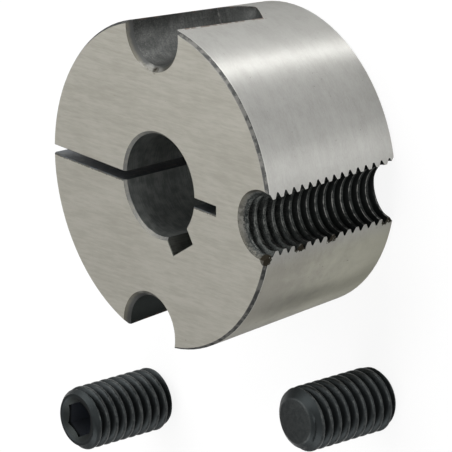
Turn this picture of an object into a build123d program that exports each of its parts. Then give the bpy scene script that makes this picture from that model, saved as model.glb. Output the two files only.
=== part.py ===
"""Taper bush with its two clamping set screws.

The bush is a split steel cone that locks a pulley or sprocket on a shaft. Two set screws, threaded
half in the hub and half resting in plain seats of the bush, draw it into the hub; moved to the tapped
half-hole, one of them jacks it out again. The bush stands on its small end with the bore axis on Z,
the small end at Z = 0 and the tapped half-hole towards +X. The screws stand beside it on their ends.
"""

import os
from math import cos, radians, sin, sqrt, tan

from build123d import *

# ---- bush body, mm and degrees ----
large_end_diameter = 47.6
bush_length = 25.4
taper_per_side = 4.0  # half of the 8 degree included taper
rim_break_width = 0.4  # broken edge round the large end, measured across the face
rim_break_depth = 0.5  # the same edge, measured along the cone
foot_break = 0.3  # small end's broken edge, both ways

# ---- bore and keyway ----
bore_diameter = 15.0
bore_chamfer = 0.4
keyway_width = 5.0
keyway_depth = 2.3  # from the bore wall to the keyway floor
keyway_angle = -56.0  # from +X, seen from the large end

# ---- saw cut: through one wall, on into the wall opposite ----
split_width = 1.3
split_offset = 0.45  # the cut runs this far from the bore axis, towards -Y
relief_depth = 5.0  # from the bore wall to the end of the cut in the wall that stays whole

# ---- half-holes on one circle round the bore, countersunk at their mouths ----
screw_circle_diameter = 44.45
countersink_angle = 90.0
seat_diameter = 10.0  # plain seats for the clamping screws
seat_mouth_diameter = 11.5
seat_depth = 16.3  # full diameter, from the large face
seat_angle = 94.6  # each side of the tapped half-hole
drill_point_angle = 118.0
tap_drill_diameter = 8.0
tapped_mouth_diameter = 10.1

# ---- set screws, 3/8 in x 5/8 in, drawn at their major diameter ----
screw_diameter = 9.525
screw_length = 15.875
screw_point_diameter = 6.6
screw_point_chamfer = 1.1  # along the screw
screw_crown = 0.25  # height of the slightly domed point
screw_head_chamfer = 0.9  # along the screw
screw_head_diameter = 7.9
socket_width = 5.0  # across the flats
socket_depth = 5.2
socket_mouth_diameter = 7.2  # coned lead-in round the hexagon
socket_mouth_angle = 120.0

# ---- where the screws stand: direction from the bore axis, and clear distance from the bush ----
first_screw_angle = -122.8
first_screw_gap = 26.7
first_screw_turn = 28.0  # of its socket's corners, from +X
second_screw_angle = -59.6
second_screw_gap = 8.8
second_screw_turn = 0.0

# ---- worked out from the above ----
taper = tan(radians(taper_per_side))
large_radius = large_end_diameter / 2
bore_radius = bore_diameter / 2
screw_circle_radius = screw_circle_diameter / 2
seat_radius = seat_diameter / 2
seat_mouth_radius = seat_mouth_diameter / 2
tap_drill_radius = tap_drill_diameter / 2
tapped_mouth_radius = tapped_mouth_diameter / 2
flare = tan(radians(countersink_angle / 2))  # how fast a countersink widens
screw_radius = screw_diameter / 2
overrun = 2.0  # how far a cutting tool runs past a face


def cone_radius(z):
    """Radius of the tapered outside at height z above the small end."""
    return large_radius - (bush_length - z) * taper


def turned_blank():
    """Cone, bore and end chamfers: one half-section turned round the bore axis."""
    rim_z = bush_length - rim_break_depth
    half_section = Polyline(
        (bore_radius + bore_chamfer, 0),
        (cone_radius(0) - foot_break, 0),
        (cone_radius(foot_break), foot_break),
        (cone_radius(rim_z), rim_z),
        (cone_radius(rim_z) - rim_break_width, bush_length),
        (bore_radius + bore_chamfer, bush_length),
        (bore_radius, bush_length - bore_chamfer),
        (bore_radius, bore_chamfer),
        close=True,
    )
    return revolve(Plane.XZ * make_face(half_section), Axis.Z)


def bar_cut(start, end, width, offset=0.0):
    """Straight-sided cutter along +X from start to end, right through the length of the bush."""
    full_height = bush_length + 2 * overrun
    bar = Box(end - start, width, full_height, align=(Align.MIN, Align.CENTER, Align.MIN))
    return Pos(start, offset, -overrun) * bar


def keyway_cut():
    """Keyway broached the whole length of the bore; its floor is flat."""
    return Rot(0, 0, keyway_angle) * bar_cut(0, bore_radius + keyway_depth, keyway_width)


def saw_cut():
    """One saw cut from outside the cone, through the bore, into the wall behind the tapped hole."""
    return bar_cut(-large_radius - overrun, bore_radius + relief_depth, split_width, -split_offset)


def half_hole(angle, tool_side):
    """Turned cutter of the given side outline, stood on the screw circle at that angle."""
    tool = revolve(Plane.XZ * make_face(Polyline(*tool_side, close=True)), Axis.Z)
    return Rot(0, 0, angle) * Pos(screw_circle_radius, 0, 0) * tool


def seat_cut(angle):
    """Blind drilled hole from the large face with its drill point; half of it is outside the cone."""
    point_length = seat_radius / tan(radians(drill_point_angle / 2))
    shoulder = bush_length - seat_depth
    sink_depth = (seat_mouth_radius - seat_radius) / flare
    tool_side = [
        (0, shoulder - point_length),
        (seat_radius, shoulder),
        (seat_radius, bush_length - sink_depth),
        (seat_mouth_radius + overrun * flare, bush_length + overrun),
        (0, bush_length + overrun),
    ]
    return half_hole(angle, tool_side)


def jacking_cut():
    """Tapped half-hole right through at its drilled size, countersunk at both faces."""
    sink_depth = (tapped_mouth_radius - tap_drill_radius) / flare
    mouth_radius = tapped_mouth_radius + overrun * flare
    tool_side = [
        (0, -overrun),
        (mouth_radius, -overrun),
        (tap_drill_radius, sink_depth),
        (tap_drill_radius, bush_length - sink_depth),
        (mouth_radius, bush_length + overrun),
        (0, bush_length + overrun),
    ]
    return half_hole(0, tool_side)


def make_bush():
    """The whole body: turned blank less every cut."""
    blank = turned_blank()
    cuts = [keyway_cut(), saw_cut(), seat_cut(seat_angle), seat_cut(-seat_angle), jacking_cut()]
    return blank - cuts


def make_set_screw():
    """Set screw standing on its point: domed flat point, chamfered ends, hexagon socket upwards."""
    point_radius = screw_point_diameter / 2
    head_radius = screw_head_diameter / 2
    dome_radius = (point_radius**2 + screw_crown**2) / (2 * screw_crown)
    dome_middle = dome_radius - sqrt(dome_radius**2 - (point_radius / 2) ** 2)
    side = Polyline(
        (point_radius, screw_crown),
        (screw_radius, screw_crown + screw_point_chamfer),
        (screw_radius, screw_length - screw_head_chamfer),
        (head_radius, screw_length),
        (0, screw_length),
        (0, 0),
    )
    dome = ThreePointArc((0, 0), (point_radius / 2, dome_middle), (point_radius, screw_crown))
    blank = revolve(Plane.XZ * make_face(side.edges() + dome.edges()), Axis.Z)
    corner_radius = socket_width / 2 / cos(radians(30))
    socket = extrude(RegularPolygon(corner_radius, 6), socket_depth + overrun)
    mouth_radius = socket_mouth_diameter / 2
    mouth_depth = mouth_radius / tan(radians(socket_mouth_angle / 2))
    mouth = Cone(0, mouth_radius, mouth_depth, align=(Align.CENTER, Align.CENTER, Align.MAX))
    head = Pos(0, 0, screw_length)
    return blank - [Pos(0, 0, screw_length - socket_depth) * socket, head * mouth]


def place_beside(screw, angle, gap, turn):
    """Stand a screw, turned about its own axis, at a clear distance from the rim of the bush."""
    distance = large_radius + gap + screw_radius
    place = Pos(distance * cos(radians(angle)), distance * sin(radians(angle)), 0)
    return place * Rot(0, 0, turn) * screw


os.makedirs("parts", exist_ok=True)
set_screw = make_set_screw()
upside_down = Pos(0, 0, screw_length) * Rot(180, 0, 0) * set_screw

first_screw = place_beside(set_screw, first_screw_angle, first_screw_gap, first_screw_turn)
second_screw = place_beside(upside_down, second_screw_angle, second_screw_gap, second_screw_turn)

export_step(make_bush(), "parts/bush.step")
export_step(first_screw, "parts/set_screw_1.step")
export_step(second_screw, "parts/set_screw_2.step")
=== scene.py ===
"""Looks of a split taper bush and its two set screws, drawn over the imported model.

Everything is in metres in the model's own frame: the bush stands on its small end with the bore axis
on Z, and the tapped half-hole looks towards +X.
"""

import math

import bmesh
import bpy
import numpy as np
from mathutils import Matrix


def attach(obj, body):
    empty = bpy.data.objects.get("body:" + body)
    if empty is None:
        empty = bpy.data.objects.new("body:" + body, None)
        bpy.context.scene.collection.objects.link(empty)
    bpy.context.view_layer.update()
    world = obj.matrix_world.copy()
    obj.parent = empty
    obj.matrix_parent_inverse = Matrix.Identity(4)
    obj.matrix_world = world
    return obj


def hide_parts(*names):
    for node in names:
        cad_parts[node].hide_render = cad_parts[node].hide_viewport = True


bl_info = {
    "name": "Taper Bush",
    "version": (1, 0, 0),
    "blender": (4, 5, 0),
    "location": "View3D > Sidebar > Taper Bush",
    "description": "Draws a split taper bush, its set screws and a plain studio",
    "category": "Add Mesh",
}

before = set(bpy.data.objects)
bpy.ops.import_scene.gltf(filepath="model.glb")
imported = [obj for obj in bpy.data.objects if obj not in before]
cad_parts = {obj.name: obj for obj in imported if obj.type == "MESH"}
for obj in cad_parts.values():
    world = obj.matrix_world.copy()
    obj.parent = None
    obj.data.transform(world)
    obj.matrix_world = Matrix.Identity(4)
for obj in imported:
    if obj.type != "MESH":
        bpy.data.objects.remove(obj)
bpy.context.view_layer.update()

MM = 0.001

# regions of the bush, in the order of its material slots
CONE, FACE, RIM, SEAT, SINK, THREAD, BORE, SAWN, KEYWAY, CHAMFER = range(10)

# rounds after which the thread's meeting with the cone no longer moves
LIP_ROUNDS = 10

# edges sharper than this are drawn as corners, in degrees
SHARP_BUSH, SHARP_SCREW = 32, 34

# torn patches along the tapped half-hole's lower lip, in mm: height of the middle, fade and core
TORN_PATCHES = (18.7, 1.6, 0.5), (12.5, 1.3, 0.4), (1.2, 1.6, 0.8)


# ---------------------------------------------------------------- settings


def length(name, description, default_mm):
    """A length that a user may change, kept in metres."""
    return bpy.props.FloatProperty(
        name=name, description=description, default=default_mm * MM, min=0.0, precision=5, unit="LENGTH"
    )


def angle(name, description, degrees):
    """An angle that a user may change, kept in radians."""
    return bpy.props.FloatProperty(
        name=name, description=description, default=math.radians(degrees), subtype="ANGLE"
    )


def colour(name, description, rgb):
    """A linear colour that a user may change."""
    return bpy.props.FloatVectorProperty(
        name=name, description=description, default=rgb, size=3, min=0.0, max=1.0, subtype="COLOR"
    )


def amount(name, description, default):
    """A plain number that a user may change."""
    return bpy.props.FloatProperty(name=name, description=description, default=default, min=0.0)


def floor_place(name, default):
    """One coordinate of the point on the floor that the camera looks at, in metres."""
    description = "Point on the floor that the camera looks at"
    return bpy.props.FloatProperty(name=name, description=description, default=default, unit="LENGTH")


class BushSizes(bpy.types.PropertyGroup):
    """Sizes of the bush."""

    large_end: length("Large end", "Diameter of the cone at the large face", 47.6)
    height: length("Length", "Length of the bush along its bore", 25.4)
    taper: angle("Taper", "Slope of the cone to the bore axis", 4.0)
    rim_width: length("Rim break width", "Broken edge round the large face, across it", 0.4)
    rim_depth: length("Rim break depth", "The same edge, down the cone", 0.5)
    foot_break: length("Foot break", "Broken edge round the small end", 0.3)
    bore: length("Bore", "Diameter of the bore", 15.0)
    bore_chamfer: length("Bore chamfer", "Chamfer at both ends of the bore", 0.4)
    key_width: length("Keyway width", "Width of the keyway", 5.0)
    key_depth: length("Keyway depth", "From the bore wall to the keyway floor", 2.3)
    key_angle: angle("Keyway angle", "Direction of the keyway from +X", -56.0)
    saw_high: length("Saw cut, upper wall", "How far the cut reaches past the axis towards +Y", 0.2)
    saw_low: length("Saw cut, lower wall", "How far the cut reaches past the axis towards -Y", 1.1)
    saw_end: length("Saw cut end", "Where the cut ends in the wall that stays whole", 12.5)
    screw_circle: length("Screw circle", "Diameter of the circle of half-holes", 44.45)
    seat: length("Seat", "Diameter of the plain half-holes", 10.0)
    seat_mouth: length("Seat mouth", "Diameter of their countersinks at the large face", 11.5)
    seat_depth: length("Seat depth", "Depth of the plain half-holes at full diameter", 16.3)
    seat_angle: angle("Seat angle", "Each side of the tapped half-hole", 94.6)
    drill_point: angle("Drill point", "Angle of the drill point at the seats' ends", 118.0)
    tap_drill: length("Tapping drill", "Diameter over the crests of the tapped half-hole", 8.0)
    tap_major: length("Thread", "Diameter over the roots of the tapped half-hole", 9.525)
    tap_mouth: length("Thread mouth", "Diameter of its countersinks", 10.1)
    pitch: length("Pitch", "Pitch of the thread", 1.5875)
    root_height: length("Thread start", "Height of a thread root on the +X side of its hole", 11.86)
    edge_break: length("Edge break", "Small break along the sawn and broached edges", 0.08)


class ScrewSizes(bpy.types.PropertyGroup):
    """Sizes and places of the two set screws."""

    diameter: length("Thread", "Diameter over the crests", 9.525)
    height: length("Length", "Length of a screw", 15.875)
    pitch: length("Pitch", "Pitch of the thread", 1.5875)
    point: length("Point", "Diameter of the flat point", 6.6)
    point_chamfer: length("Point chamfer", "Chamfer above the point, along the screw", 1.1)
    crown: length("Crown", "Height of the slightly domed point", 0.25)
    head: length("Head", "Diameter of the flat at the socket end", 7.9)
    head_chamfer: length("Head chamfer", "Chamfer at the socket end, along the screw", 0.9)
    socket: length("Socket", "Hexagon socket across its flats", 5.0)
    socket_depth: length("Socket depth", "Depth of the hexagon socket", 5.2)
    mouth: length("Socket mouth", "Diameter of the coned lead-in round the hexagon", 7.2)
    mouth_angle: angle("Mouth angle", "Angle of that cone", 120.0)
    first_phase: amount("First screw's thread start", "Share of a turn that its thread is turned on", 0.5)
    second_phase: amount("Second screw's thread start", "Share of a turn that its thread is turned on", 0.0)
    first_distance: length("First screw's distance", "From the bore axis", 55.2625)
    first_angle: angle("First screw's direction", "From +X", -122.8)
    first_turn: angle("First screw's turn", "Direction of a corner of its socket", 28.0)
    second_distance: length("Second screw's distance", "From the bore axis", 37.3625)
    second_angle: angle("Second screw's direction", "From +X", -59.6)


class Colours(bpy.types.PropertyGroup):
    """Colours of the finishes, linear."""

    ground: colour("Ground steel", "Ground cone", (0.40, 0.397, 0.379))
    ground_dull: colour("Ground steel, dull", "Duller marks of the ground cone", (0.32, 0.317, 0.298))
    # painted reflection and shade for the cone's lower side: the darker warm colour near the rim, then the
    # paler one towards the small end
    painted_reflection: colour("Oil film", "Warm film low on the ground cone, near its rim", (0.303, 0.288, 0.236))
    painted_reflection_pale: colour("Oil film, thin", "The same film towards the small end", (0.470, 0.460, 0.362))
    # painted highlight colour for the edge beside the rim break
    painted_edge_highlight: colour("Worn steel", "Bright worn edges", (0.62, 0.615, 0.585))
    face: colour("Large face", "Surface-ground face", (0.482, 0.467, 0.417))
    face_dull: colour("Large face, dull", "Duller lines of that face", (0.400, 0.386, 0.338))
    turned: colour("Turned steel", "Bore chamfers, and the tapped mouth's clean part", (0.206, 0.202, 0.182))
    scale: colour("Dark skin", "Dark skin of the rim break", (0.06, 0.061, 0.060))
    scale_worn: colour("Dark skin, rubbed", "Where that skin is rubbed", (0.150, 0.148, 0.139))
    seat: colour("Seat", "Drilled wall of the plain half-holes", (0.083, 0.086, 0.084))
    seat_worn: colour("Seat, rubbed", "Where that wall is rubbed", (0.151, 0.153, 0.147))
    bored: colour("Bore", "Wall of the bore", (0.277, 0.289, 0.277))
    bored_dull: colour("Bore, dull", "Duller patches of the bore", (0.168, 0.178, 0.175))
    sawn: colour("Saw cut", "Walls of the saw cut", (0.075, 0.085, 0.092))
    broached: colour("Keyway", "Walls of the keyway", (0.15, 0.155, 0.14))
    thread: colour("Cut thread", "Roots of the tapped half-hole", (0.025, 0.028, 0.027))
    thread_worn: colour("Cut thread, rubbed", "Crests of the tapped half-hole", (0.12, 0.125, 0.118))
    sink: colour("Countersink", "Olive-grey countersinks", (0.130, 0.124, 0.104))
    stain: colour("Oil stain", "Brown staining along cut edges", (0.013, 0.0105, 0.006))
    rust: colour("Rust", "Thin red-brown lines along the seats' lips", (0.095, 0.058, 0.041))
    oxide: colour("Black oxide", "Set screws", (0.029, 0.033, 0.034))
    oxide_worn: colour("Black oxide, worn", "Crests and edges of the set screws", (0.072, 0.076, 0.075))
    # painted light for the inside of the hexagon socket
    socket: colour("Socket", "Paler film in the hexagon socket", (0.13, 0.14, 0.16))


class Studio(bpy.types.PropertyGroup):
    """Camera, lamps and floor."""

    aim_x: floor_place("Aim X", -0.01489)
    aim_y: floor_place("Aim Y", -0.01532)
    distance: length("Camera distance", "From that point", 799.7)
    azimuth: angle("Camera direction", "From +X, seen from above", 24.10)
    elevation: angle("Camera elevation", "Above the floor", 38.03)
    roll: angle("Camera roll", "Turn of the camera about its line of sight", -104.69)
    lens: bpy.props.FloatProperty(
        name="Lens", description="Focal length for a 36 mm sensor", default=433.95, unit="CAMERA"
    )
    sky_bright: amount("Sky, bright side", "Light from the side of the key lamp", 0.72)
    sky_dark: amount("Sky, dark side", "Light from the other side", 0.20)
    key: amount("Key lamp", "Power of the small low lamp beside the cone, in watts", 1.5)
    fill: amount("Fill lamp", "Power of the soft lamp by the camera, in watts", 2.3)
    side: amount("Side lamp", "Power of the soft lamp on the dark side, in watts", 2.7)
    top: amount("Top lamp", "Power of the near soft lamp above the large face, in watts", 0.66)
    paper: amount("Paper", "Share of plain white in the floor that the camera sees", 0.88)
    mirrored: amount("Paper in the steel", "Share of plain white in the floor that the steel mirrors", 0.25)


# ---------------------------------------------------------------- mesh helpers


def smooth_step(value):
    """Eases 0 to 1: three squares less two cubes of the clipped value."""
    t = np.clip(value, 0.0, 1.0)
    return t * t * (3.0 - 2.0 * t)


def steps(count):
    """Equal fractions from 0 up to but not including 1, as one row."""
    return np.arange(count)[None, :] / count


def ring_faces(rows, columns):
    """Quads between neighbouring rings; each ring closes on itself."""
    low = np.arange(rows - 1)[:, None] * columns
    here = np.arange(columns)[None, :]
    after = (here + 1) % columns
    quads = [low + here, low + after, low + columns + after, low + columns + here]
    return np.stack(quads, axis=-1).reshape(-1, 4)


def add_object(name, data):
    """A new object in the scene with this mesh, lamp or camera."""
    made = bpy.data.objects.new(name, data)
    bpy.context.collection.objects.link(made)
    return made


def make_piece(name, rings, regions, materials, sharp_degrees, capped=False):
    """One mesh piece from its rings of points and the material number of each face, or of all.

    Neighbouring rings are joined by quads. A capped piece is closed by a flat face at both ends, and
    any other by rings that end in one point.
    """
    rows, columns = rings.shape[:2]
    faces = ring_faces(rows, columns).tolist()
    if capped:
        end = np.arange(columns)
        faces += [end[::-1].tolist(), (end + (rows - 1) * columns).tolist()]
    mesh = bpy.data.meshes.new(name)
    mesh.from_pydata(rings.reshape(-1, 3).tolist(), [], faces)
    numbers = (np.zeros(len(faces)) + regions).astype(np.int32)
    mesh.polygons.foreach_set("material_index", numbers)
    for material in materials:
        mesh.materials.append(material)
    weld = 0.0005 * MM
    form = bmesh.new()
    form.from_mesh(mesh)
    bmesh.ops.remove_doubles(form, verts=form.verts, dist=weld)
    form.to_mesh(mesh)
    form.free()
    mesh.shade_smooth()
    mesh.set_sharp_from_angle(angle=math.radians(sharp_degrees))
    return add_object(name, mesh)


# ---------------------------------------------------------------- bush shape


def cone_radius(size, z):
    """Radius of the outside: the large end's, less the depth times the taper's slope, less the breaks."""
    radius = size.large_end / 2 - (size.height - z) * math.tan(size.taper)
    rim = size.rim_width * np.clip((z - size.height) / size.rim_depth + 1.0, 0.0, 1.0)
    foot = np.clip(size.foot_break - z, 0.0, None)
    return radius - rim - foot


def bore_radius(size, z):
    """Radius of the bore, widened at 45 degrees by its chamfers."""
    from_end = np.minimum(z, size.height - z)
    return size.bore / 2 + np.clip(size.bore_chamfer - from_end, 0.0, None)


def edge_growth(size, z):
    """How much a slot is widened near a face by the break of its edges."""
    from_end = np.minimum(z, size.height - z)
    return np.clip(size.edge_break - from_end, 0.0, None)


def seat_radius(size, z):
    """Radius of a plain seat: straight, countersunk at 45 degrees above, a drill point below."""
    sink = size.seat_mouth / 2 - (size.height - z)
    shoulder = size.height - size.seat_depth
    point = size.seat / 2 - (shoulder - z) * math.tan(size.drill_point / 2)
    return np.minimum(np.maximum(size.seat / 2, sink), np.maximum(point, 1e-9))


def tapped_radius(size, z, turn):
    """Radius of the tapped half-hole at a height and a turn about its own axis.

    Measured along the helix from the middle of a root, the radius is the thread's diameter over the
    flat root, falls along a 55 degree flank and stops at the tapping drill; countersinks widen it.
    """
    along = z - size.root_height - size.pitch * turn / (2 * math.pi)
    from_root = np.abs(along - size.pitch * np.round(along / size.pitch))
    flank = size.tap_major / 2 - (from_root - size.pitch / 12) / math.tan(math.radians(27.5))
    thread = np.clip(flank, size.tap_drill / 2, size.tap_major / 2)
    sink = size.tap_mouth / 2 - np.minimum(z, size.height - z)
    return np.maximum(thread, sink)


def lip_turn(radius, circle, outside):
    """Turn about a half-hole's own axis at which its wall meets the outside, by the cosine rule."""
    cosine = (outside**2 - circle**2 - radius**2) / (2 * circle * radius)
    return np.arccos(np.clip(cosine, -1.0, 1.0))


def bush_levels(size):
    """Heights of the bush's rings: every corner of its outline, and the thread's roots and crests."""
    height, pitch = size.height, size.pitch
    sink_tap = (size.tap_mouth - size.tap_drill) / 2
    sink_seat = (size.seat_mouth - size.seat) / 2

    # the seats' drill points: their shoulder, their tip, and where their slope leaves the cone
    shoulder = height - size.seat_depth
    tip_slope = math.tan(size.drill_point / 2)
    tip = shoulder - size.seat / 2 / tip_slope
    fall = math.tan(size.taper)
    wall = size.large_end / 2 - height * fall - size.screw_circle / 2
    touch = (tip * tip_slope + wall) / (tip_slope - fall)
    corners = [0.0, size.edge_break, size.foot_break, size.bore_chamfer, sink_tap]
    corners += [height, height - size.edge_break, height - size.bore_chamfer]
    corners += [height - size.rim_depth, height - sink_tap, height - sink_seat]
    hair = 0.004 * MM
    corners += [shoulder, touch, touch - hair]
    corners += np.linspace(touch, shoulder, 9).tolist()

    # one turn of the thread from the middle of a crest: crest, flank, root and flank
    offsets = np.array([0.0, 0.083, 0.15, 0.28, 0.333, 0.40, 0.5, 0.60, 0.667, 0.72, 0.85, 0.917]) * pitch
    middle = size.root_height + pitch / 2
    turns = np.arange(-9, 9)[:, None] * pitch
    lattice = (middle + turns + offsets[None, :]).ravel()

    # even, closer steps where the rings settle from the helix to their levels
    settling, step = 1.7 * MM, 0.09 * MM
    inside = (lattice > sink_tap + settling) & (lattice < height - sink_tap - settling)
    low_end = np.arange(sink_tap, sink_tap + settling, step)
    high_end = np.arange(height - sink_tap - settling, height - sink_tap, step)
    ends = [np.linspace(0.5 * MM, sink_tap, 5), np.linspace(height - sink_tap, height - 0.6 * MM, 4)]
    levels = np.unique(np.concatenate([corners, lattice[inside], low_end, high_end, *ends]))
    closest = 0.003 * MM
    return levels[np.concatenate([[True], np.diff(levels) > closest])]


def bush_rings(size):
    """Points of the bush, one ring for each level, and the region of each column.

    Each ring walks the outline counter-clockwise seen from above: cone and half-holes first, in
    through the saw cut, clockwise round the bore with its relief cut and keyway, and out again. In
    the tapped half-hole a ring climbs with the helix, and settles back to its level on the cone.
    """
    level = bush_levels(size)[:, None]
    circle = size.screw_circle / 2

    # how far a ring climbs for each radian of turn in the tapped half-hole
    sink = (size.tap_mouth - size.tap_drill) / 2
    ease = 1.6 * MM
    climb = smooth_step((size.height - sink - level) / ease) * smooth_step((level - sink) / ease)
    climb = climb * size.pitch / (2 * math.pi)

    def lip(side):
        """Turn and height where a ring leaves the tapped half-hole; side is 1 at +Y and -1 at -Y."""
        turn = np.full_like(level, math.pi - side * math.pi / 2)
        for _ in range(LIP_ROUNDS):
            z = level + climb * (turn - math.pi)
            meet = lip_turn(tapped_radius(size, z, turn), circle, cone_radius(size, z))
            turn = meet if side > 0 else 2 * math.pi - meet
        return turn, level + climb * (turn - math.pi)

    def polar(radius, around, z):
        """Points at a radius and an angle round the bore axis."""
        return np.stack(np.broadcast_arrays(radius * np.cos(around), radius * np.sin(around), z), axis=-1)

    def placed(x, y, z, at):
        """Points turned round the bore axis to their place."""
        c, s = math.cos(at), math.sin(at)
        return np.stack(np.broadcast_arrays(c * x - s * y, s * x + c * y, z), axis=-1)

    def half_hole(at, radius, turn, z):
        """Points of a half-hole's wall at the given radius and turn about its own axis."""
        return placed(circle + radius * np.cos(turn), radius * np.sin(turn), z, at)

    def straight(start, end, count, at=0.0):
        """Points along a straight wall from start to end, each an (x, y) pair, turned to its place."""
        x, y = (first + (last - first) * steps(count) for first, last in zip(start, end))
        return placed(x, y, level, at)

    outside = cone_radius(size, level)
    bore = bore_radius(size, level)
    grow = edge_growth(size, level)
    high, low = size.saw_high + grow, size.saw_low + grow

    # lips of the seats, as turns about their own axes and as angles round the bore
    seat = seat_radius(size, level)
    seat_turn = lip_turn(seat, circle, outside)
    seat_half = np.arctan2(seat * np.sin(seat_turn), circle + seat * np.cos(seat_turn))
    clear = seat < np.abs(outside - circle)
    seat_half = np.where(clear, 0.0, seat_half)

    def seat_wall(at, count):
        """Wall of one seat; under its drill point it shrinks to one point on the cone."""
        turn = -seat_turn - (2 * math.pi - 2 * seat_turn) * steps(count)
        wall = half_hole(at, seat, turn, level)
        closed = polar(outside, np.full((1, count), at), level)
        return np.where(clear[..., None], closed, wall)

    # lips of the tapped half-hole
    low_turn, low_z = lip(-1)
    high_turn, high_z = lip(1)

    def lip_angle(turn, z):
        """Angle round the bore of a point on the tapped half-hole's lip."""
        radius = tapped_radius(size, z, turn)
        return np.arctan2(radius * np.sin(turn), circle + radius * np.cos(turn))

    def cone_arc(start, end, start_z, end_z, count):
        """Cone between two angles, its height going evenly from one end's to the other's."""
        u = steps(count)
        z = start_z + (end_z - start_z) * u
        return polar(cone_radius(size, z), start + (end - start) * u, z)

    thread_turn = low_turn + (high_turn - low_turn) * steps(44)
    thread_z = level + climb * (thread_turn - math.pi)
    thread = half_hole(0.0, tapped_radius(size, thread_z, thread_turn), thread_turn, thread_z)

    # saw cut and keyway, widened by the break of their edges
    split_start = -math.pi + np.arcsin(low / outside)
    split_end = math.pi - np.arcsin(high / outside)
    seat_at = size.seat_angle
    bore_high = np.sqrt(bore**2 - high**2)
    bore_low = np.sqrt(bore**2 - low**2)
    out_high = np.sqrt(outside**2 - high**2)
    out_low = np.sqrt(outside**2 - low**2)
    saw_end = size.saw_end + grow
    key_half = size.key_width / 2 + grow
    key_floor = size.bore / 2 + size.key_depth + grow
    key_mouth = np.sqrt(bore**2 - key_half**2)
    key_spread = np.arcsin(key_half / bore)
    key_at = size.key_angle

    def bore_arc(start, end, count):
        """Bore wall between two angles."""
        return polar(bore, start + (end - start) * steps(count), level)

    # stretches of the outline in order, each with its number of points
    parts = [
        (CONE, cone_arc(split_start, -seat_at - seat_half, level, level, 20)),
        (SEAT, seat_wall(-seat_at, 30)),
        (CONE, cone_arc(-seat_at + seat_half, lip_angle(low_turn, low_z), level, low_z, 20)),
        (THREAD, thread),
        (CONE, cone_arc(lip_angle(high_turn, high_z), seat_at - seat_half, high_z, level, 20)),
        (SEAT, seat_wall(seat_at, 30)),
        (CONE, cone_arc(seat_at + seat_half, split_end, level, level, 20)),
        (SAWN, straight((-out_high, high), (-bore_high, high), 5)),
        (BORE, bore_arc(math.pi - np.arcsin(high / bore), np.arcsin(high / bore), 28)),
        (SAWN, straight((bore_high, high), (saw_end, high), 3)),
        (SAWN, straight((saw_end, high), (saw_end, -low), 2)),
        (SAWN, straight((saw_end, -low), (bore_low, -low), 3)),
        (BORE, bore_arc(-np.arcsin(low / bore), key_at + key_spread, 6)),
        (KEYWAY, straight((key_mouth, key_half), (key_floor, key_half), 2, key_at)),
        (KEYWAY, straight((key_floor, key_half), (key_floor, -key_half), 4, key_at)),
        (KEYWAY, straight((key_floor, -key_half), (key_mouth, -key_half), 2, key_at)),
        (BORE, bore_arc(key_at - key_spread, -math.pi + np.arcsin(low / bore), 16)),
        (SAWN, straight((-bore_low, -low), (-out_low, -low), 5)),
    ]
    rings = np.concatenate([part for _, part in parts], axis=1)
    column = np.concatenate([np.full(part.shape[1], region) for region, part in parts])
    return level[:, 0], rings, column


def bush_regions(size, level, column):
    """Material number of every quad, from its column and the height between its two rings.

    The thread's own finish begins a little before the end of its countersink.
    """
    mouth_share = 0.72
    middle = ((level[1:] + level[:-1]) / 2)[:, None]
    from_end = np.minimum(middle, size.height - middle)
    region = np.repeat(column[None, :], len(level) - 1, axis=0)
    sink_tap = (size.tap_mouth - size.tap_drill) / 2
    sink_seat = (size.seat_mouth - size.seat) / 2
    region = np.where((region == CONE) & (middle > size.height - size.rim_depth), RIM, region)
    region = np.where((region == SEAT) & (middle > size.height - sink_seat), SINK, region)
    region = np.where((region == THREAD) & (from_end < sink_tap * mouth_share), SINK, region)
    region = np.where((region == BORE) & (from_end < size.bore_chamfer), CHAMFER, region)
    return region.ravel()


# ---------------------------------------------------------------- screw shape


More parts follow.
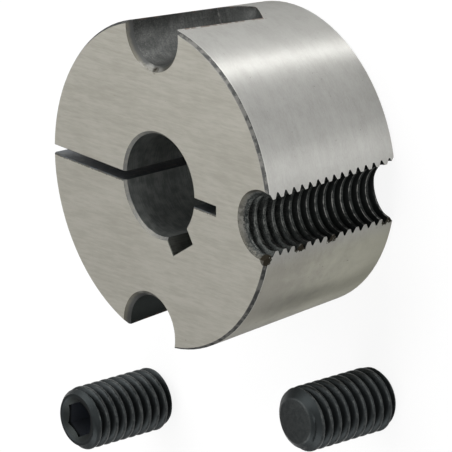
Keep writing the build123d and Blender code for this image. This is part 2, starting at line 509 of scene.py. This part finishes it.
def screw_rings(size, turn, phase):
    """Points of a set screw standing on its point, one ring for each step along its profile.

    The profile runs from the middle of the domed point, out, up over the thread, in across the head
    and down the socket to the middle of its floor. The thread's radius is a triangle wave of height
    along the helix, eased to a rounded crest and root; the chamfers' cones cut it at both ends. The
    depth is that of a Whitworth thread.
    """
    columns, rings_per_turn = 96, 15
    around = turn + 2 * math.pi * np.arange(columns)[None, :] / columns
    whole = np.ones_like(around)
    crest = size.diameter / 2
    depth = 0.6403 * size.pitch
    steepness, fullness = 1.5, 0.22
    top = size.height

    def thread_radius(z):
        """Radius of the thread between its chamfers, at each height and angle."""
        along = z / size.pitch - around / (2 * math.pi) + phase
        wave = 1.0 - 4.0 * np.abs(along - np.round(along))
        steep = steepness * (wave + fullness)
        eased = steep / (1.0 + np.abs(steep) ** 6) ** (1.0 / 6.0)
        form = crest - depth / 2 + depth / 2 * eased
        point = size.point / 2 + (z - size.crown) * (crest - size.point / 2) / size.point_chamfer
        head = size.head / 2 + (top - z) * (crest - size.head / 2) / size.head_chamfer
        return np.minimum(form, np.minimum(point, head))

    dome = np.array([0.0, 0.25, 0.5, 0.7, 0.84, 0.93])[:, None]
    dome_radius = dome * size.point / 2 * whole
    dome_z = size.crown * dome**2
    body_z = np.arange(size.crown, top, size.pitch / rings_per_turn)[:, None]
    body_z = np.concatenate([body_z, [[top - 0.02 * MM], [top]]])
    body_radius = thread_radius(body_z)

    # hexagon: distance from the axis to the flat, along each direction
    sector = (around - turn) % (math.pi / 3) - math.pi / 6
    hexagon = size.socket / 2 / np.cos(sector)
    mouth = size.mouth / 2
    floor = top - size.socket_depth
    lead_in = (mouth - hexagon) / math.tan(size.mouth_angle / 2)
    drilled = np.minimum(hexagon, size.socket * 0.46)
    rings = [
        (dome_radius, dome_z * whole),
        (body_radius, body_z * whole),
        ((mouth + 0.04 * MM) * whole, top * whole),
        ((mouth - 0.03 * MM) * whole, (top - 0.03 * MM) * whole),
        ((mouth + hexagon) / 2, top - lead_in / 2),
        (hexagon, top - lead_in),
        (hexagon, (top - 1.2 * MM) * whole),
        (hexagon, (top - 3.0 * MM) * whole),
        (hexagon, (floor + 0.5 * MM) * whole),
        (drilled, (floor + 0.45 * MM) * whole),
        (0.5 * drilled, (floor + 0.2 * MM) * whole),
        (0.0 * whole, floor * whole),
    ]
    radius, z = (np.concatenate(part) for part in zip(*rings))
    return np.stack([radius * np.cos(around), radius * np.sin(around), z], axis=-1)


def upside_down(points, height):
    """The same points turned half round about X, so that the top is the bottom."""
    return points * np.array([1.0, -1.0, -1.0]) + np.array([0.0, 0.0, height])


def beside(points, distance, direction):
    """The points moved to a distance and direction from the bore axis."""
    return points + np.array([distance * math.cos(direction), distance * math.sin(direction), 0.0])


# ---------------------------------------------------------------- shader helpers


def arithmetic(operation):
    """An operator of signals as a Math node: its plain form and its reflected one."""

    def plain(signal, other):
        return signal.maths(operation, signal, other)

    def reflected(signal, other):
        return signal.maths(operation, other, signal)

    return plain, reflected


class Signal:
    """One output of a node; arithmetic on it adds Math nodes to the same node tree."""

    def __init__(self, finish, socket):
        self.finish = finish
        self.socket = socket

    def maths(self, operation, *terms):
        """A Math node of these terms."""
        return self.finish.node("ShaderNodeMath", {"operation": operation}, dict(enumerate(terms)))

    def __abs__(self):
        return self.maths("ABSOLUTE", self)

    __add__, __radd__ = arithmetic("ADD")
    __sub__, __rsub__ = arithmetic("SUBTRACT")
    __mul__, __rmul__ = arithmetic("MULTIPLY")
    __truediv__, __rtruediv__ = arithmetic("DIVIDE")
    __pow__, __rpow__ = arithmetic("POWER")


class Finish:
    """The node tree of a new material or world while it is being filled."""

    def __init__(self, owner):
        owner.use_nodes = True
        self.owner = owner
        self.tree = owner.node_tree
        self.tree.nodes.clear()

    def node(self, kind, settings=None, values=None, output=0):
        """A node of this type: its settings first, then the values or links of its sockets."""
        made = self.tree.nodes.new(kind)
        for name, value in (settings or {}).items():
            setattr(made, name, value)
        for name, value in (values or {}).items():
            if isinstance(value, Signal):
                self.tree.links.new(value.socket, made.inputs[name])
            else:
                made.inputs[name].default_value = value
        return Signal(self, made.outputs[output])

    def output(self, shader):
        """Ends the tree, and gives back the material or world that it belongs to."""
        world = isinstance(self.owner, bpy.types.World)
        made = self.tree.nodes.new("ShaderNodeOutputWorld" if world else "ShaderNodeOutputMaterial")
        self.tree.links.new(shader.socket, made.inputs["Surface"])
        return self.owner


def vector_maths(operation, values, output=0):
    """A Vector Math node, in the node tree of its first value."""
    return values[0].finish.node("ShaderNodeVectorMath", {"operation": operation}, values, output)


def start_material(name):
    """Starts a material, and gives the place on the piece in millimetres."""
    place = Finish(bpy.data.materials.new(name)).node("ShaderNodeTexCoord", output="Object")
    return vector_maths("SCALE", {0: place, "Scale": 1.0 / MM})


def axes(vector):
    """The three numbers of a vector."""
    first = vector.finish.node("ShaderNodeSeparateXYZ", None, {0: vector})
    return [Signal(vector.finish, output) for output in first.socket.node.outputs]


def vector_of(x, y, z):
    """The vector of three numbers."""
    return x.finish.node("ShaderNodeCombineXYZ", None, {0: x, 1: y, 2: z})


def noise(vector, scale=1.0, detail=2.0, roughness=0.5, squeeze=None):
    """Soft noise from 0 to 1; squeeze is how much finer it is along each axis."""
    if squeeze:
        vector = vector_maths("MULTIPLY", {0: vector, 1: squeeze})
    values = {"Vector": vector, "Scale": scale, "Detail": detail, "Roughness": roughness}
    return vector.finish.node("ShaderNodeTexNoise", {"noise_dimensions": "3D"}, values)


def rise(value, low, high):
    """Eases from 0 at low to 1 at high, or falls if low is the larger."""
    settings = {"interpolation_type": "SMOOTHSTEP"}
    values = {"Value": value, "From Min": low, "From Max": high}
    return value.finish.node("ShaderNodeMapRange", settings, values)


def largest(first, *others):
    """The largest of some signals."""
    for other in others:
        first = first.maths("MAXIMUM", first, other)
    return first


def across(x, y):
    """Distance from the axis of x and y."""
    return (x * x + y * y) ** 0.5


def near(place, point, reach):
    """1 at a point in millimetres, easing to 0 at a reach from it."""
    return rise(vector_maths("DISTANCE", {0: place, 1: point}, "Value"), reach, reach * 0.35)


def blend(first, second, share):
    """A colour between two, each a signal or a colour property."""
    first, second = (tone if isinstance(tone, Signal) else (*tone, 1.0) for tone in (first, second))
    values = {0: share, 6: first, 7: second}
    return share.finish.node("ShaderNodeMix", {"data_type": "RGBA"}, values, output=2)


def metal(tint, roughness, relief, depth_mm, dirt=0.0, edge=1.0, **constants):
    """Ends a material as steel with its own relief, matt where it is dirty.

    The edge is how strongly the steel reflects at a grazing view.
    """
    finish = tint.finish
    heights = {"Height": relief, "Strength": 1.0, "Distance": depth_mm * MM}
    values = {
        "Base Color": tint,
        "Roughness": roughness,
        "Normal": finish.node("ShaderNodeBump", None, heights),
        "Metallic": 1.0 - dirt,
        "Specular Tint": (edge, edge, edge, 1.0),
        "Specular IOR Level": 0.2,
        **constants,
    }
    return finish.output(finish.node("ShaderNodeBsdfPrincipled", None, values))


# ---------------------------------------------------------------- finishes
# Lengths are in millimetres here. The bush's finishes all take the colours and the sizes, so that one
# loop can make them.


def mouth_burr(place, size):
    """Dirty burr where the tapped half-hole's mouth meets the rim: 1 in its middle, ragged outside."""
    corner = (size.screw_circle / 2 / MM + 0.75, -4.9, size.height / MM - 0.2)
    reach = 1.35
    ragged = noise(place, scale=2.4, detail=5.0, roughness=0.75)
    return rise(near(place, corner, reach) + ragged * 1.9, 1.28, 1.48)


def ground_cone(colours, size):
    """Ground taper: fine marks round the axis, clouds, pin-holes, a painted highlight by the rim break,
    painted reflection and shade on its lower side, and stains at the lips.
    """
    place = start_material("ground_cone")
    x, y, z = axes(place)
    fine = noise(place, squeeze=(1.3, 1.3, 10.0), detail=3.0, roughness=0.65)
    grit = noise(place, scale=3.6, roughness=0.6)
    broad = noise(place, squeeze=(0.14, 0.14, 1.2))
    cloud = noise(place, scale=0.35, detail=3.0)
    dull = rise(fine * 0.35 + grit * 0.15 + broad * 0.2 + cloud * 0.3, 0.38, 0.66)
    tint = blend(colours.ground, colours.ground_dull, dull * 0.75)

    # painted reflection and shade on the lower side, fainter at the very bottom: darker and warm towards the
    # rim, paler towards the foot, and its pale end towards the foot is cloudy
    wander = cloud * 22.0 + noise(place, scale=0.9, detail=3.0) * 12.0
    painted_reflection = blend(colours.painted_reflection_pale, colours.painted_reflection, rise(z + wander, 20.0, 41.0))
    painted_reflection_share = rise(y, -3.5, -7.5) * (rise(y, -21.0, -15.0) * 0.3 + 0.3)
    tint = blend(tint, painted_reflection, painted_reflection_share)

    # bright line beside the rim break, a painted highlight along that edge, and pin-holes
    rim_z = (size.height - size.rim_depth) / MM
    rubbed = rise(z, rim_z - 0.18, rim_z - 0.02)
    tint = blend(tint, colours.painted_edge_highlight, rubbed * 0.6)
    pits = rise(noise(place, scale=2.6, detail=1.0), 0.775, 0.81)
    tint = blend(tint, colours.scale, pits * 0.5)

    # brown line along the lips of the plain seats
    patchy = noise(place, scale=1.3, detail=3.0)
    circle, seat = size.screw_circle / 2 / MM, size.seat / 2 / MM
    seat_x, seat_y = circle * math.cos(size.seat_angle), circle * math.sin(size.seat_angle)
    from_seat = across(x - seat_x, abs(y) - seat_y)
    shoulder = (size.height - size.seat_depth) / MM
    lip = rise(from_seat, seat + 0.42, seat + 0.20) * rise(z, shoulder - 0.8, shoulder)
    rusty = lip * rise(patchy, 0.40, 0.52) * 0.85
    tint = blend(tint, colours.rust, rusty)

    # dark smears where the tap tore the lower lip of its half-hole, and the burr at its mouth
    torn = largest(*(rise(abs(z - middle), fade, core) for middle, fade, core in TORN_PATCHES))
    ragged = noise(place, scale=2.4, detail=5.0, roughness=0.75)
    reach = size.tap_major / 2 / MM + patchy * 0.9 + ragged * 1.4 - 0.95
    beside_thread = rise(across(x - circle, y) - reach, 0.12, -0.05)
    smear = beside_thread * rise(y, -2.5, -3.0) * torn
    smear = largest(smear, mouth_burr(place, size))
    smear = rise(smear, 0.2, 0.6) * rise(grit, 0.22, 0.42)
    tint = blend(tint, colours.stain, smear)

    roughness = 0.36 + fine * 0.12 + cloud * 0.06 + smear * 0.3
    relief = fine * 0.3 + grit - pits * 0.3
    spread = {"Anisotropic": 0.92, "Anisotropic Rotation": 0.25}
    return metal(tint, roughness, relief, 0.0075, largest(smear, rusty), 0.3, **spread)


def ground_face(colours, size):
    """Large face: short surface-grinding strokes, a little off X, over a faint cloudiness."""
    place = start_material("ground_face")
    x, y, z = axes(place)
    lean = 0.057
    over = y - x * lean
    fine = noise(vector_of(x * 0.34, over * 2.6, z), detail=4.0, roughness=0.65)
    bands = noise(vector_of(x * 0.09, over * 0.8, z), detail=1.5)
    cloud = noise(place, scale=0.3, detail=3.0)
    dull = rise(fine * 0.55 + bands * 0.25 + cloud * 0.2, 0.36, 0.64)
    tint = blend(colours.face, colours.face_dull, dull)
    pits = rise(noise(place, scale=2.6, detail=1.0), 0.78, 0.82)
    tint = blend(tint, colours.scale, pits * 0.4)

    # ragged brown edge along the lower wall of the saw cut
    patchy = noise(place, scale=2.2, detail=3.0)
    edge, end = -(size.saw_low + size.edge_break) / MM, size.saw_end / MM
    beside_cut = rise(y - edge + patchy * 0.45, 0.02, 0.12) * rise(y, 0.0, -0.1)
    beside_cut = beside_cut * rise(x, end + 0.2, end) * 0.85

    # burr at the mouth of the tapped half-hole, and a rubbed spot at the upper seat's mouth
    circle, top = size.screw_circle / 2 / MM, size.height / MM
    spot = near(place, (-1.15, circle - 5.75, top), 0.4) * rise(patchy, 0.35, 0.60)
    dirt = largest(beside_cut, largest(mouth_burr(place, size), spot) * 0.9)
    tint = blend(tint, colours.stain, dirt)
    return metal(tint, 0.46 + fine * 0.10 + dirt * 0.2, fine - pits * 0.6, 0.004, dirt, 0.35)


def rim_band(colours, size):
    """Broken edge of the large end: dark turned skin, rubbed in blotches, paler at the large face in a
    painted highlight along that edge.
    """
    place = start_material("rim_band")
    z = axes(place)[2]
    mottle = noise(place, scale=1.1, detail=3.0, roughness=0.6)
    strokes = noise(place, squeeze=(0.6, 0.6, 9.0))
    rubbed = rise(mottle * 0.8 + strokes * 0.2, 0.44, 0.56)
    tint = blend(colours.scale, colours.scale_worn, rubbed)
    top = size.height / MM
    # painted highlight along the edge at the large face
    tint = blend(tint, colours.ground, rise(z, top - 0.1, top) * 0.4)
    burr = mouth_burr(place, size)
    tint = blend(tint, colours.stain, burr)
    return metal(tint, 0.42 + mottle * 0.15, mottle + strokes, 0.01, burr, 0.5)


def drilled_seat(colours, size):
    """Plain half-holes: dark mottled wall, speckled near its mouth, black with painted shade in the lower
    seat.
    """
    place = start_material("drilled_seat")
    x, y, z = axes(place)
    top, shoulder = size.height / MM, (size.height - size.seat_depth) / MM
    mottle = noise(place, scale=2.2, detail=4.0, roughness=0.7)
    marks = noise(place, squeeze=(0.6, 0.6, 6.0))
    grit = noise(place, scale=5.0, roughness=0.6)
    rubbed = rise(mottle * 0.45 + marks * 0.2 + grit * 0.35, 0.40, 0.62)
    tint = blend(colours.seat, colours.seat_worn, rubbed)
    specks = rise(noise(place, scale=6.0, detail=1.0), 0.60, 0.70)
    mouth = rise(z, top - 4.5, top - 1.5)
    tint = blend(tint, colours.ground_dull, specks * (mouth * 0.28 + 0.08))
    cloud = noise(place, scale=0.55, detail=3.0)
    tint = blend(tint, colours.thread, rise(cloud, 0.40, 0.60) * 0.3)

    # painted shade darkening the drill point, a paler ring at its shoulder, and painted shade over the lower
    # seat
    tip = rise(z, shoulder + 0.1, shoulder - 0.1)
    painted_shade_low_seat = rise(y, 0.0, -5.0)
    tint = blend(tint, colours.thread, tip * 0.35 + painted_shade_low_seat)
    ring = rise(abs(z - shoulder), 0.16, 0.05) * rise(mottle, 0.35, 0.6)
    tint = blend(tint, colours.ground_dull, ring * 0.5)

    # broken brown line where the wall meets the cone
    slope = math.tan(size.taper)
    outside = z * slope + (size.large_end / 2 - size.height * slope) / MM
    lip = rise(outside - across(x, y), 0.32, 0.06)
    brown = lip * rise(noise(place, scale=0.9), 0.5, 0.62) * 0.8
    tint = blend(tint, colours.rust, brown)
    return metal(tint, 0.42 + mottle * 0.16 + tip * 0.22, marks + mottle, 0.010, brown, 0.5)


def countersink(colours, size):
    """Countersinks: olive-grey cut steel, darker inwards, chipped bright at the seats' inner side."""
    place = start_material("countersink")
    x, y, z = axes(place)
    circle, top = size.screw_circle / 2 / MM, size.height / MM
    mottle = noise(place, scale=1.2, detail=3.0, roughness=0.6)
    broad = noise(place, scale=0.45)
    marks = noise(place, squeeze=(1.0, 1.0, 6.0))
    dark = rise(mottle * 0.6 + broad * 0.4, 0.44, 0.62) * 0.5
    deep = rise(z + mottle * 0.5, top + 0.25, top - 0.55)
    tint = blend(colours.sink, colours.seat, largest(dark, deep))

    # tapped mouth (1 in tapped): clean in its middle, ragged and black inwards, smudged at the burr
    tapped = rise(x, 10.0, 12.0)
    clean = rise(y, 3.2, 1.2) * rise(y, -3.4, -0.4) * rise(mottle, 0.62, 0.42)
    tint = blend(tint, colours.turned, tapped * clean)
    ragged = noise(place, scale=3.5, detail=3.0, roughness=0.7)
    inside = rise(z + mottle * 0.6 + ragged * 0.8, top + 0.18, top - 0.02) * tapped
    smudge = near(place, (circle - 1.8, -4.4, top - 0.2), 3.4) * rise(ragged, 0.62, 0.42)
    tint = blend(tint, colours.thread, largest(inside * 0.92, smudge * 0.8))

    # plain seats: chips on the side towards the bore, and painted shade on the side of the saw cut
    inner = rise(abs(y), circle - 4.8, circle - 5.3) * rise(abs(y), 8.0, 10.0)
    chips = rise(mottle * 0.8 + marks * 0.2, 0.36, 0.54) * inner
    tint = blend(tint, colours.ground_dull, chips * 0.5)
    skin = rise(x + mottle * 1.5, -1.5, -2.8) * rise(z + mottle * 0.3, top - 0.02, top - 0.38)
    tint = blend(tint, colours.scale, skin * 0.85)

    # the burr, and a stained spot at the upper seat's mouth
    spot = near(place, (-1.15, circle - 5.4, top - 0.3), 0.85) * rise(mottle, 0.36, 0.50)
    burr = mouth_burr(place, size)
    tint = blend(tint, colours.stain, largest(burr, spot))
    return metal(tint, 0.45 + mottle * 0.15, marks + mottle, 0.02, largest(burr * 0.5, spot), 0.4)


def cut_thread(colours, size):
    """Tapped wall: black roots, grey rubbed crests, and a thin painted highlight along one edge of each
    crest.

    The distance from the middle of a crest is the height less the helix's rise, folded at each pitch.
    """
    place = start_material("cut_thread")
    x, y, z = axes(place)
    pitch, top = size.pitch / MM, size.height / MM
    turn = y.maths("ARCTAN2", y, x - size.screw_circle / 2 / MM)
    turn = turn + turn.maths("LESS_THAN", turn, 0.0) * (2 * math.pi)
    along = z - turn * (pitch / (2 * math.pi)) - (size.root_height / MM + pitch / 2)
    from_crest = along - along.maths("ROUND", along / pitch) * pitch

    # dust on the crests, thicker towards the mouth
    patchy = noise(place, scale=1.1, detail=3.0)
    grit = noise(place, scale=5.0)
    speckled = rise(patchy * 0.4 + grit * 0.6, 0.40, 0.64)
    hazy = rise(abs(from_crest), 0.42, 0.18) * speckled
    mouth = rise(z, 12.0, 24.0)
    dusty = largest(hazy * (mouth * 0.6 + 0.4), speckled * mouth * 0.55)
    tint = blend(colours.thread, colours.thread_worn, dusty)

    # painted highlight line, which fades out at the mouth and is strongest deep in the hole
    line = rise(abs(from_crest - 0.17), 0.09, 0.03) * rise(patchy, 0.34, 0.60)
    line = line * rise(z, top - 1.0, top - 2.2)
    deep = rise(z, 22.0, 3.0)
    tint = blend(tint, colours.ground, line * (deep * 0.55 + 0.25))
    return metal(tint, 0.42 + patchy * 0.15, patchy + grit * 0.4, 0.02, edge=0.5)


def bored_wall(colours, size):
    """Bore: smoothly turned, greenish grey, with oil-dulled patches."""
    place = start_material("bored_wall")
    turned = noise(place, squeeze=(0.5, 0.5, 6.0))
    cloud = noise(place, scale=0.7, detail=4.0, roughness=0.6)
    share = rise(turned * 0.35 + cloud * 0.65, 0.36, 0.66)
    tint = blend(colours.bored_dull, colours.bored, share)
    return metal(tint, 0.44 + cloud * 0.12, turned, 0.006)


def turned_chamfer(colours, size):
    """Chamfers of the bore: dull turned steel, nicked in places."""
    place = start_material("turned_chamfer")
    cloud = noise(place, scale=1.4, detail=4.0, roughness=0.65)
    tint = blend(colours.seat_worn, colours.turned, rise(cloud, 0.36, 0.62))
    return metal(tint, 0.55 + cloud * 0.12, cloud, 0.012)


def sawn_wall(colours, size):
    """Saw cut: blue-black, stepped by the saw, browned in patches at the large face."""
    place = start_material("sawn_wall")
    z = axes(place)[2]
    saw_steps = noise(place, squeeze=(0.3, 1.0, 5.0))
    patch = noise(place, scale=1.0, detail=3.0)
    tint = blend(colours.sawn, colours.seat_worn, rise(patch, 0.45, 0.75))
    top = size.height / MM
    brown = rise(z, top - 0.7, top - 0.05) * rise(patch, 0.35, 0.6) * 0.7
    tint = blend(tint, colours.stain, brown)
    return metal(tint, 0.42 + patch * 0.15, saw_steps, 0.02, brown)


def broached_wall(colours, size):
    """Keyway: dark, with marks along the broach's stroke."""
    place = start_material("broached_wall")
    strokes = noise(place, squeeze=(5.0, 5.0, 0.3))
    patch = noise(place, scale=0.8, detail=3.0)
    share = rise(strokes * 0.5 + patch * 0.5, 0.4, 0.7)
    tint = blend(colours.broached, colours.stain, share * 0.6)
    return metal(tint, 0.44 + patch * 0.15, strokes, 0.01)


def black_oxide(colours, size, name, distance, direction, socket_up):
    """Set screw: satin blue-black, thinner on crests and point, dark at the socket's mouth, painted light
    deeper in it.
    """
    place = start_material(name)
    x, y, z = axes(place)
    east = distance * math.cos(direction) / MM
    north = distance * math.sin(direction) / MM
    from_axis = across(x - east, y - north)
    outer, top = size.diameter / 2 / MM, size.height / MM
    mottle = noise(place, scale=1.4, detail=4.0, roughness=0.6)
    grain = noise(place, scale=7.0)
    thin = rise(mottle * 0.6 + grain * 0.4, 0.38, 0.64)
    crest = rise(from_axis, outer - 0.22, outer - 0.02)
    tint = blend(colours.oxide, colours.oxide_worn, crest * thin * 0.9)

    # depth is measured from the socket's end, whichever way the screw stands
    depth = (top - z) if socket_up else z
    mouth = rise(from_axis, size.mouth / 2 / MM - 0.05, size.socket / 2 / MM + 0.70)
    mouth = mouth * rise(depth, 0.02, 0.2) * rise(depth, top - 1.5, top - 2.0)
    tint = blend(tint, colours.thread, mouth * 0.85)
    # painted light deeper in the socket
    tint = blend(tint, colours.socket, rise(depth, 0.7, 1.1) * mouth)
    point_depth = top - size.crown / MM
    point = rise(depth, point_depth - 0.15, point_depth)
    tint = blend(tint, colours.oxide_worn, point * (thin * 0.4 + 0.2))
    return metal(tint, 0.36 + mottle * 0.12 + grain * 0.08, grain * 0.6 + mottle, 0.010)


# ---------------------------------------------------------------- operators


class TAPERBUSH_OT_body(bpy.types.Operator):
    """Draw the bush with its threads and ground finish"""

    bl_idname = "taper_bush.body"
    bl_label = "Bush"

    def execute(self, context):
        size, colours = context.scene.bush_sizes, context.scene.bush_colours
        level, rings, column = bush_rings(size)
        regions = np.concatenate([bush_regions(size, level, column), [FACE, FACE]])
        makers = [
            ground_cone, ground_face, rim_band, drilled_seat, countersink,
            cut_thread, bored_wall, sawn_wall, broached_wall, turned_chamfer,
        ]
        materials = [maker(colours, size) for maker in makers]
        piece = make_piece("bush_body", rings, regions, materials, SHARP_BUSH, capped=True)
        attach(piece, "root")
        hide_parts("bush")
        return {"FINISHED"}


class TAPERBUSH_OT_screws(bpy.types.Operator):
    """Draw the two set screws standing beside the bush"""

    bl_idname = "taper_bush.screws"
    bl_label = "Set screws"

    def execute(self, context):
        size, colours = context.scene.screw_sizes, context.scene.bush_colours
        standing = screw_rings(size, size.first_turn, size.first_phase)
        first = beside(standing, size.first_distance, size.first_angle)
        turned = upside_down(screw_rings(size, 0.0, size.second_phase), size.height)
        second = beside(turned, size.second_distance, size.second_angle)
        places = [
            ("set_screw_1", first, size.first_distance, size.first_angle, True),
            ("set_screw_2", second, size.second_distance, size.second_angle, False),
        ]
        for node, rings, distance, direction, socket_up in places:
            material = black_oxide(colours, size, node + "_oxide", distance, direction, socket_up)
            piece = make_piece(node + "_threaded", rings, 0, [material], SHARP_SCREW)
            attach(piece, "root")
            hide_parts(node)
        return {"FINISHED"}


class TAPERBUSH_OT_stage(bpy.types.Operator):
    """Set the floor, lamps, sky and camera"""

    bl_idname = "taper_bush.stage"
    bl_label = "Studio"

    def execute(self, context):
        studio = context.scene.bush_studio
        lay_floor(studio)
        light_sky(context.scene, studio)
        # azimuth and elevation in degrees, then distance, width and height in metres
        hang_lamp("low_key", 83.5, 5.5, 0.62, (0.07, 0.11), studio.key)
        hang_lamp("camera_fill", 13.0, 20.0, 0.9, (0.30, 0.4), studio.fill)
        hang_lamp("side_fill", -95.0, 38.0, 0.9, (0.60, 0.30), studio.side)
        hang_lamp("overhead", 125.0, 52.0, 0.26, (0.26, 0.26), studio.top)
        place_camera(context.scene, studio)
        return {"FINISHED"}


def white_rays(finish, studio):
    """Share of plain white: one for camera rays, another for glossy and transmission rays."""
    seen = finish.node("ShaderNodeLightPath", output="Is Camera Ray")
    glossy = finish.node("ShaderNodeLightPath", output="Is Glossy Ray")
    through = finish.node("ShaderNodeLightPath", output="Is Transmission Ray")
    return largest(seen * studio.paper, largest(glossy, through) * studio.mirrored)


def lay_floor(studio):
    """White paper just under the pieces: mostly plain white for the camera, and still shaded."""
    half, drop = 4.0, 0.02 * MM
    points = [(-half, -half, -drop), (half, -half, -drop), (half, half, -drop), (-half, half, -drop)]
    finish = Finish(bpy.data.materials.new("paper"))
    matt = finish.node("ShaderNodeBsdfDiffuse", None, {"Color": (0.9, 0.9, 0.9, 1.0)})
    plain = finish.node("ShaderNodeEmission", None, {"Color": (1.0, 1.0, 1.0, 1.0), "Strength": 1.0})
    share = white_rays(finish, studio)
    material = finish.output(finish.node("ShaderNodeMixShader", None, {0: share, 1: matt, 2: plain}))
    material.cycles.emission_sampling = "NONE"
    mesh = bpy.data.meshes.new("paper_floor")
    mesh.from_pydata(points, [], [(0, 1, 2, 3)])
    mesh.materials.append(material)
    floor = add_object("paper_floor", mesh)


def light_sky(scene, studio):
    """Soft light from all round, whose strength eases from the dark side to the bright side."""
    finish = Finish(bpy.data.worlds.new("studio"))
    bright_side = (0.15, 0.78, 0.61)
    direction = finish.node("ShaderNodeTexCoord", output="Generated")
    toward = vector_maths("DOT_PRODUCT", {0: direction, 1: bright_side}, "Value")
    strength = rise(toward, -0.9, 1.0) * (studio.sky_bright - studio.sky_dark) + studio.sky_dark
    values = {"Color": (1.0, 1.0, 1.0, 1.0), "Strength": strength}
    scene.world = finish.output(finish.node("ShaderNodeBackground", None, values))


def hang_lamp(name, azimuth, elevation, distance, size, watts):
    """A rectangular soft lamp looking at the bush; size is its width and height."""
    data = bpy.data.lights.new(name, "AREA")
    data.shape = "RECTANGLE"
    data.size, data.size_y = size
    data.energy = watts
    lamp = add_object(name, data)
    bush_middle = np.array([0.0, 0.0, 0.012])
    lamp.matrix_world = looking_at(bush_middle, math.radians(azimuth), math.radians(elevation), distance, 0.0)


def looking_at(aim, azimuth, elevation, distance, roll):
    """Matrix of a camera or lamp that looks at a point from a direction, turned about its sight."""
    level = math.cos(elevation)
    back = np.array([level * math.cos(azimuth), level * math.sin(azimuth), math.sin(elevation)])
    right = np.cross([0.0, 0.0, 1.0], back)
    right /= np.linalg.norm(right)
    up = np.cross(back, right)
    turned_x = math.cos(roll) * right + math.sin(roll) * up
    turned_y = math.cos(roll) * up - math.sin(roll) * right
    matrix = np.eye(4)
    matrix[:3, 0], matrix[:3, 1], matrix[:3, 2] = turned_x, turned_y, back
    matrix[:3, 3] = aim + distance * back
    return Matrix(matrix.tolist())


def place_camera(scene, studio):
    """Long-lens camera turned on its side, so that the bush's axis lies across the picture."""
    data = bpy.data.cameras.new("camera")
    data.sensor_width = 36.0
    data.lens = studio.lens
    data.clip_start, data.clip_end = 0.01, 20.0
    camera = add_object("camera", data)
    aim = np.array([studio.aim_x, studio.aim_y, 0.0])
    camera.matrix_world = looking_at(aim, studio.azimuth, studio.elevation, studio.distance, studio.roll)
    scene.camera = camera
    scene.view_settings.view_transform = "Standard"


SETTINGS = {
    "bush_sizes": BushSizes,
    "screw_sizes": ScrewSizes,
    "bush_colours": Colours,
    "bush_studio": Studio,
}
OPERATORS = (TAPERBUSH_OT_body, TAPERBUSH_OT_screws, TAPERBUSH_OT_stage)


class TAPERBUSH_PT_panel(bpy.types.Panel):
    """Buttons and sizes of the taper bush."""

    bl_label = "Taper Bush"
    bl_idname = "TAPERBUSH_PT_panel"
    bl_space_type = "VIEW_3D"
    bl_region_type = "UI"
    bl_category = "Taper Bush"

    def draw(self, context):
        for operator in OPERATORS:
            self.layout.operator(operator.bl_idname)
        for settings, group in SETTINGS.items():
            box = self.layout.box()
            for name in group.__annotations__:
                box.prop(getattr(context.scene, settings), name)


CLASSES = (*SETTINGS.values(), *OPERATORS, TAPERBUSH_PT_panel)


def register():
    """Makes the settings, operators and panel known to Blender."""
    for item in CLASSES:
        bpy.utils.register_class(item)
    for name, group in SETTINGS.items():
        setattr(bpy.types.Scene, name, bpy.props.PointerProperty(type=group))


def unregister():
    """Takes them away again."""
    for name in SETTINGS:
        delattr(bpy.types.Scene, name)
    for item in reversed(CLASSES):
        bpy.utils.unregister_class(item)


def main():
    """Draws the pieces and the studio."""
    register()
    bpy.ops.taper_bush.body()
    bpy.ops.taper_bush.screws()
    bpy.ops.taper_bush.stage()
    bpy.context.view_layer.update()


if __name__ == "__main__":
    main()
